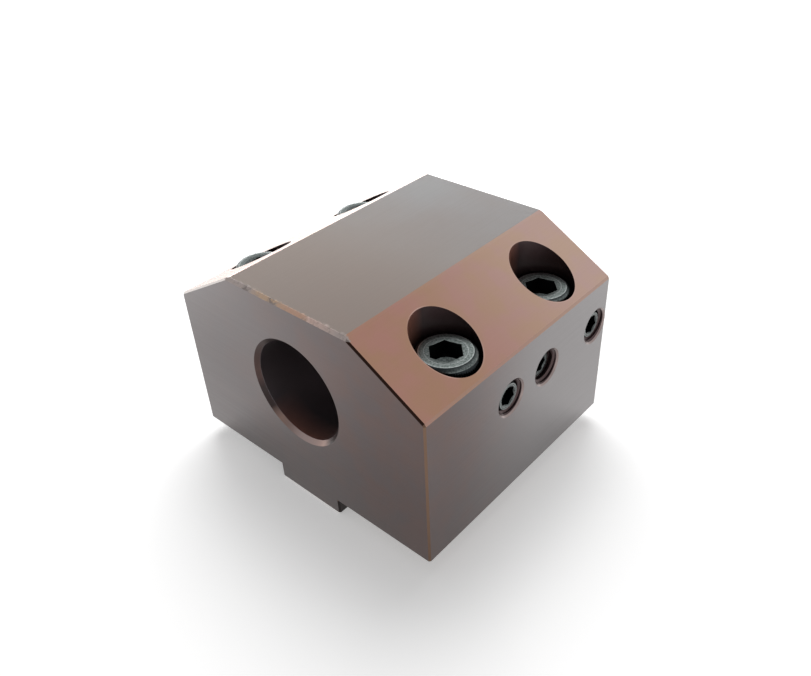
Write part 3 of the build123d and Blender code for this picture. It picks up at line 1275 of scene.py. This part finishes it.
def socket_rings(shape, columns, flats, depth, top, mouth, mouth_slope):
    """Rings of a hexagonal socket, from the mouth's bevel down to the edge of the drill point."""
    wall = hexagon(flats)
    slope = math.tan(math.radians(mouth_slope))
    return [
        add_ring(shape, columns, mouth, top),
        add_ring(shape, columns, wall, lambda angle: top - (mouth - wall(angle)) * slope),
        add_ring(shape, columns, wall, top - depth),
        add_ring(shape, columns, flats / 2, top - depth),
    ]


print("drill point of an 8 mm socket, mm deep:", round(4 * DRILL_SLOPE, 2))

# %% [markdown]
# ## Cap screws
#
# M10 socket head cap screws. The head is 16 mm across with a straight knurl, whose crests stand a tenth of
# a millimetre proud, and the top edge is rounded. The shank is threaded for 32 mm from its point. A knurl
# could be bump, but its teeth break the outline of the head, so they are real: two columns of points a
# tooth.

# %% Sizes of a cap screw
HEAD_RADIUS = 8.0
HEAD_HEIGHT = 10.0
HEAD_ROUND = 1.4
ROUND_STEPS = 9
NECK_ROUND = 0.4
FOOT_BEVEL, FOOT_HEIGHT = 0.4, 0.3
KNURL_TEETH = 72
KNURL_PROUD = 0.12
KNURL_FROM, KNURL_FADE = 0.8, 0.3
KNURL_END = 0.15  # below the rounded edge
CAP_FLATS = 8.0
CAP_SOCKET_DEPTH = 5.0
CAP_MOUTH = 5.45
CAP_MOUTH_SLOPE = 9  # degrees from level
CAP_THREAD = 32.0
CAP_PLAIN = 2.0  # least length without a thread
CAP_POINT_BEVEL = 1.0
CAP_COLUMNS = 2 * KNURL_TEETH


def knurl(angle):
    """Radius of the knurled side: every other column is a crest."""
    crest = round(angle * CAP_COLUMNS / math.tau) % 2 == 0
    return HEAD_RADIUS + (KNURL_PROUD if crest else -KNURL_PROUD)


def rounded(bend):
    """Radius of the head's rounded top edge, where the knurl runs out."""
    edge = HEAD_RADIUS - HEAD_ROUND * (1 - math.cos(bend))
    return lambda angle: min(edge, knurl(angle))


print("knurl, mm from crest to crest:", round(math.tau * HEAD_RADIUS / KNURL_TEETH, 2))

# %% One cap screw


def head_outline(thread_top):
    """Radii and heights of the neck, the foot, the knurl and the rounded edge, from below to the top."""
    outline = [
        (CREST, thread_top), (CREST, -NECK_ROUND),
        (CREST + 0.3 * NECK_ROUND, -0.3 * NECK_ROUND), (CREST + NECK_ROUND, 0.0),
        (HEAD_RADIUS - FOOT_BEVEL, 0.0), (HEAD_RADIUS - FOOT_BEVEL + FOOT_HEIGHT, FOOT_HEIGHT),
        (HEAD_RADIUS - KNURL_PROUD, KNURL_FROM - KNURL_FADE), (knurl, KNURL_FROM),
        (knurl, HEAD_HEIGHT - HEAD_ROUND - KNURL_END),
    ]
    for step in range(ROUND_STEPS + 1):
        bend = math.radians(90 * step / ROUND_STEPS)
        outline.append((rounded(bend), HEAD_HEIGHT - HEAD_ROUND * (1 - math.sin(bend))))
    return outline


def cap_screw(name, length, matrix):
    """Socket head cap screw with the underside of its head at height 0."""
    shape = bmesh.new()
    point = CREST - CAP_POINT_BEVEL
    thread_top = min(CAP_THREAD, length - CAP_PLAIN) - length
    add_thread(shape, CAP_COLUMNS, -length, thread_top, point, CREST)
    cap(shape, add_ring(shape, CAP_COLUMNS, point, -length), -length, -1)
    rings = [add_ring(shape, CAP_COLUMNS, radius, height) for radius, height in head_outline(thread_top)]
    rings += socket_rings(
        shape, CAP_COLUMNS, CAP_FLATS, CAP_SOCKET_DEPTH, HEAD_HEIGHT, CAP_MOUTH, CAP_MOUTH_SLOPE
    )
    join_rings(shape, rings)
    drill_point = HEAD_HEIGHT - CAP_SOCKET_DEPTH - CAP_FLATS / 2 * DRILL_SLOPE
    cap(shape, rings[-1], drill_point, 1)
    return finish_piece(shape, name, matrix)


print("points in the outline of a head:", len(head_outline(-CAP_THREAD)))

# %% Put the cap screws in place, each with its socket turned as it was left
CAP_TURNS = {"front_left": 38, "front_right": 14, "rear_left": 25, "rear_right": 13}

for corner, turn in CAP_TURNS.items():
    node = f"mounting_screw_{corner}"
    low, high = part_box(node)
    seat = Vector(((low.x + high.x) / 2, (low.y + high.y) / 2, high.z - HEAD_HEIGHT * MM))
    length = (seat.z - low.z) / MM
    matrix = Matrix.Translation(seat) @ Matrix.Rotation(math.radians(turn), 4, "Z")
    screw = cap_screw(f"cap_screw_{corner}", length, matrix)
    screw.data.materials.append(oxides["black_oxide_steel"])
    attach(screw, "holder")
    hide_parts(node)
    print(screw.name, "M10 x", round(length), "faces", len(screw.data.polygons))

# %% [markdown]
# ## Set screws and their tapped holes
#
# M10 set screws with a 5 mm hexagon, threaded from end to end. The tapped holes carry the matching thread.
# It could be cut into the block, but the CAD mesh isn't changed, so it is a ridge of its own that starts
# inside the wall. It is built in the same frame as the screw, so that it lies in the screw's groove.

# %% One set screw
SET_FLATS = 5.0
SET_SOCKET_DEPTH = 5.0
SET_POINT = 3.5
SET_FACE = 3.7
SET_MOUTH = 3.0
SET_MOUTH_SLOPE = 30  # degrees from level
SET_COLUMNS = 72


def set_screw(name, length, matrix):
    """Flat point set screw with its socket end at height 0."""
    shape = bmesh.new()
    add_thread(shape, SET_COLUMNS, -length, 0.0, SET_POINT, SET_FACE)
    cap(shape, add_ring(shape, SET_COLUMNS, SET_POINT, -length), -length, -1)
    rings = [add_ring(shape, SET_COLUMNS, SET_FACE, 0.0)]
    rings += socket_rings(
        shape, SET_COLUMNS, SET_FLATS, SET_SOCKET_DEPTH, 0.0, SET_MOUTH, SET_MOUTH_SLOPE
    )
    join_rings(shape, rings)
    cap(shape, rings[-1], -SET_SOCKET_DEPTH - SET_FLATS / 2 * DRILL_SLOPE, 1)
    return finish_piece(shape, name, matrix)


print("flat end of a set screw, mm across:", 2 * SET_FACE)

# %% The thread of a tapped hole, with its ridge in the middle of the screw's groove
HOLE_WALL = 5.1  # a little behind the wall's surface, so that no gap shows
HOLE_CREST = 4.35
RIDGE_HALF_BASE = 0.6
RIDGE_HALF_CREST = 0.17
RIDGE_MIDDLE = 0.125 * PITCH  # halfway along the root of the screw's thread
RUN_OUT_TURNS = 0.25
LEAST_GROWN = 0.02  # share of its height at the very end
MOUTH_RADIUS = 5.6  # of the countersink, at the side face
HIDDEN = 0.03  # how far the ridge keeps behind the countersink and the side face


def ridge_section(shape, angle, z, grown, high):
    """Six points across the ridge at an angle, kept behind the countersink and below the side face."""
    crest = HOLE_WALL - (HOLE_WALL - HOLE_CREST) * grown
    middle = (HOLE_WALL + crest) / 2
    half_middle = (RIDGE_HALF_BASE + RIDGE_HALF_CREST) / 2
    profile = (
        (HOLE_WALL, -RIDGE_HALF_BASE), (middle, -half_middle), (crest, -RIDGE_HALF_CREST),
        (crest, RIDGE_HALF_CREST), (middle, half_middle), (HOLE_WALL, RIDGE_HALF_BASE),
    )
    section = []
    for radius, offset in profile:
        point_z = min(z + offset, high - HIDDEN)
        r = max(radius, MOUTH_RADIUS + HIDDEN - (high - point_z))
        section.append(shape.verts.new((r * math.cos(angle), r * math.sin(angle), point_z)))
    return section


def hole_thread(name, length, low, high, matrix):
    """Ridge of an internal thread between two heights, run out below and cut by the countersink above."""
    shape = bmesh.new()
    first = math.ceil((low + length) / PITCH * SET_COLUMNS)
    last = math.floor((high + length) / PITCH * SET_COLUMNS)
    sections = []
    for step in range(first, last + 1):
        z = -length + RIDGE_MIDDLE + step * PITCH / SET_COLUMNS
        grown = max(LEAST_GROWN, min(1.0, (step - first) / (SET_COLUMNS * RUN_OUT_TURNS)))
        sections.append(ridge_section(shape, math.tau * step / SET_COLUMNS, z, grown, high))
    for before, after in zip(sections, sections[1:]):
        for i in range(len(before)):
            j = (i + 1) % len(before)
            shape.faces.new((before[i], before[j], after[j], after[i]))
    shape.faces.new(sections[0])
    shape.faces.new(sections[-1])
    return finish_piece(shape, name, matrix)


print("thread of a hole stands out by, mm:", round(HOLE_WALL - HOLE_CREST, 2))

# %% Put the set screws and the threads of their holes in place
SET_TURNS = {"front": 5, "middle": 22, "rear": 12}
THREAD_SETBACK = 0.8  # from the wall of the bore

for place_name, turn in SET_TURNS.items():
    node = f"clamp_screw_{place_name}"
    low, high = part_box(node)
    end = Vector((high.x, (low.y + high.y) / 2, (low.z + high.z) / 2))
    length = (high.x - low.x) / MM
    matrix = Matrix.Translation(end) @ Matrix.Rotation(math.radians(90), 4, "Y")
    matrix = matrix @ Matrix.Rotation(math.radians(turn), 4, "Z")
    screw = set_screw(f"set_screw_{place_name}", length, matrix)
    screw.data.materials.append(oxides["oiled_black_steel"])
    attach(screw, f"clamp_{place_name}")
    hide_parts(node)
    end_depth = high.x / MM
    low_end, high_end = BORE_RADIUS + THREAD_SETBACK - end_depth, SIDE - end_depth
    thread = hole_thread(f"hole_thread_{place_name}", length, low_end, high_end, matrix)
    thread.data.materials.append(coated)
    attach(thread, "holder")
    print(screw.name, "M10 x", round(length), "faces", len(screw.data.polygons), len(thread.data.polygons))

# %% [markdown]
# ## Sizes
#
# The box of the CAD and the box of what is shown are both printed, in millimetres. The model
# has to stay as large as the CAD says.

# %% Write the sizes and finish
low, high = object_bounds()
print("CAD box, mm:", [round(v / MM, 2) for v in (*cad_low, *cad_high)])
print("visual box, mm:", [round(v / MM, 2) for v in (*low, *high)])
